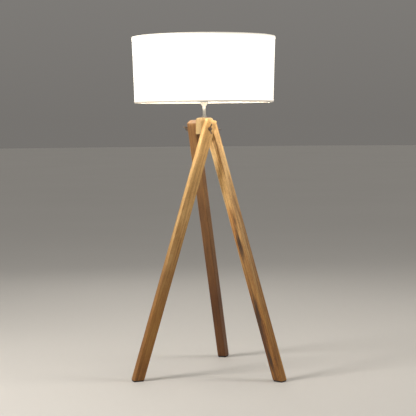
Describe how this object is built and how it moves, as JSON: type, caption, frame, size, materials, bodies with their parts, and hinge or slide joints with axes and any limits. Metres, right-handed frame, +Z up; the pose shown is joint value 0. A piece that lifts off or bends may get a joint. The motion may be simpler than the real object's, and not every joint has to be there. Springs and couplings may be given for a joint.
{
  "type": "tripod floor lamp",
  "caption": "Floor lamp with timber legs bolted flat on a small timber hub, each held by a wing nut, a short metal tube and a wide drum shade of off-white fabric.",
  "frame": {"origin": "middle of the lamp's box, on the floor", "axes": "+Z up the lamp; the first leg's stud points along -Y, and that leg's foot is on the -X side"},
  "size_m": [0.6426, 0.6238, 1.417],
  "materials": {
    "leg_wood": "oiled solid timber",
    "hub_wood": "oiled solid timber",
    "black_rubber": "matte",
    "zinc_steel": "zinc plated",
    "dark_bronze": "dark bronze plating over steel",
    "bright_metal": "polished nickel",
    "brass": "plain",
    "ceramic": "glazed ceramic",
    "black_plastic": "moulded",
    "white_plastic": "moulded",
    "white_metal": "white enamel",
    "bulb_aluminium": "rolled thread",
    "clear_glass": "clear",
    "frosted_glass": "frosted",
    "shade_fabric": "plain weave laminated on a stiff liner",
    "shade_liner": "translucent film",
    "shade_hem": "plain weave, folded"
  },
  "bodies": {
    "stand": {"hub_block": "hub_wood", "hanger_bolt_1": "dark_bronze", "hanger_bolt_2": "dark_bronze", "hanger_bolt_3": "dark_bronze", "nipple": "zinc_steel", "hub_washer": "zinc_steel", "hub_nut": "zinc_steel", "cable_bush": "black_plastic", "tube": "bright_metal", "tube_collar": "bright_metal", "collar_grub_screw": "dark_bronze", "holder_cap": "white_plastic", "holder_lock_nut": "zinc_steel", "terminal_block": "ceramic", "terminal_screw_1": "brass", "terminal_screw_2": "brass", "centre_contact": "brass", "screw_shell": "brass", "holder_sleeve": "white_plastic", "shade_ring_lower": "white_plastic", "shade_ring_upper": "white_plastic", "shade_fabric": "shade_fabric", "shade_liner": "shade_liner", "hem_top": "shade_hem", "hem_bottom": "shade_hem", "shade_wire_top": "white_metal", "shade_spider": "white_metal"},
    "leg_1": {"leg_1": "leg_wood", "foot_glide_1": "black_rubber", "glide_screw_1": "zinc_steel"},
    "washer_1": {"leg_washer_1": "dark_bronze"},
    "wing_nut_1": {"wing_nut_1": "dark_bronze"},
    "leg_2": {"leg_2": "leg_wood", "foot_glide_2": "black_rubber", "glide_screw_2": "zinc_steel"},
    "washer_2": {"leg_washer_2": "dark_bronze"},
    "wing_nut_2": {"wing_nut_2": "dark_bronze"},
    "leg_3": {"leg_3": "leg_wood", "foot_glide_3": "black_rubber", "glide_screw_3": "zinc_steel"},
    "washer_3": {"leg_washer_3": "dark_bronze"},
    "wing_nut_3": {"wing_nut_3": "dark_bronze"},
    "bulb_tip": {"bulb_tip_contact": "brass"},
    "bulb": {"bulb_glass": "frosted_glass", "bulb_cap": "bulb_aluminium", "bulb_insulator": "black_plastic", "bulb_stem": "clear_glass"}
  },
  "joints": [
    {"name": "leg_1_fold", "type": "hinge", "parent": "stand", "child": "leg_1", "pos_m": [0.02133, -0.00354, 1.035], "axis": [0, -1, 0], "range_deg": [-8, 17.3]},
    {"name": "washer_1_slide", "type": "slide", "parent": "stand", "child": "washer_1", "axis": [0, -1, 0], "range_m": [0, 0.0038]},
    {"name": "wing_nut_1_turn", "type": "hinge", "parent": "washer_1", "child": "wing_nut_1", "pos_m": [0.02133, -0.00354, 1.035], "axis": [0, -1, 0], "range_deg": [0, 1080]},
    {"name": "leg_2_fold", "type": "hinge", "parent": "stand", "child": "leg_2", "pos_m": [0.02133, -0.00354, 1.035], "axis": [-0.749, 0.6626, 0], "range_deg": [-8, 18.4]},
    {"name": "washer_2_slide", "type": "slide", "parent": "stand", "child": "washer_2", "axis": [-0.749, 0.6626, 0], "range_m": [0, 0.0038]},
    {"name": "wing_nut_2_turn", "type": "hinge", "parent": "washer_2", "child": "wing_nut_2", "pos_m": [0.02133, -0.00354, 1.035], "axis": [-0.749, 0.6626, 0], "range_deg": [0, 1080]},
    {"name": "leg_3_fold", "type": "hinge", "parent": "stand", "child": "leg_3", "pos_m": [0.02133, -0.00354, 1.035], "axis": [0.866, 0.5, 0], "range_deg": [-8, 18.8]},
    {"name": "washer_3_slide", "type": "slide", "parent": "stand", "child": "washer_3", "axis": [0.866, 0.5, 0], "range_m": [0, 0.0038]},
    {"name": "wing_nut_3_turn", "type": "hinge", "parent": "washer_3", "child": "wing_nut_3", "pos_m": [0.02133, -0.00354, 1.035], "axis": [0.866, 0.5, 0], "range_deg": [0, 1080]},
    {"name": "bulb_rise", "type": "slide", "parent": "stand", "child": "bulb_tip", "axis": [0, 0, 1], "range_m": [0, 0.0182]},
    {"name": "bulb_turn", "type": "hinge", "parent": "bulb_tip", "child": "bulb", "pos_m": [0.02133, -0.00354, 1.2], "axis": [0, 0, 1], "range_deg": [0, 1800]}
  ],
  "couplings": [
    {"joint": "washer_1_slide", "follows": "wing_nut_1_turn", "m_per_rad": 0.00019894},
    {"joint": "washer_2_slide", "follows": "wing_nut_2_turn", "m_per_rad": 0.00019894},
    {"joint": "washer_3_slide", "follows": "wing_nut_3_turn", "m_per_rad": 0.00019894},
    {"joint": "bulb_rise", "follows": "bulb_turn", "m_per_rad": 0.00057757}
  ]
}
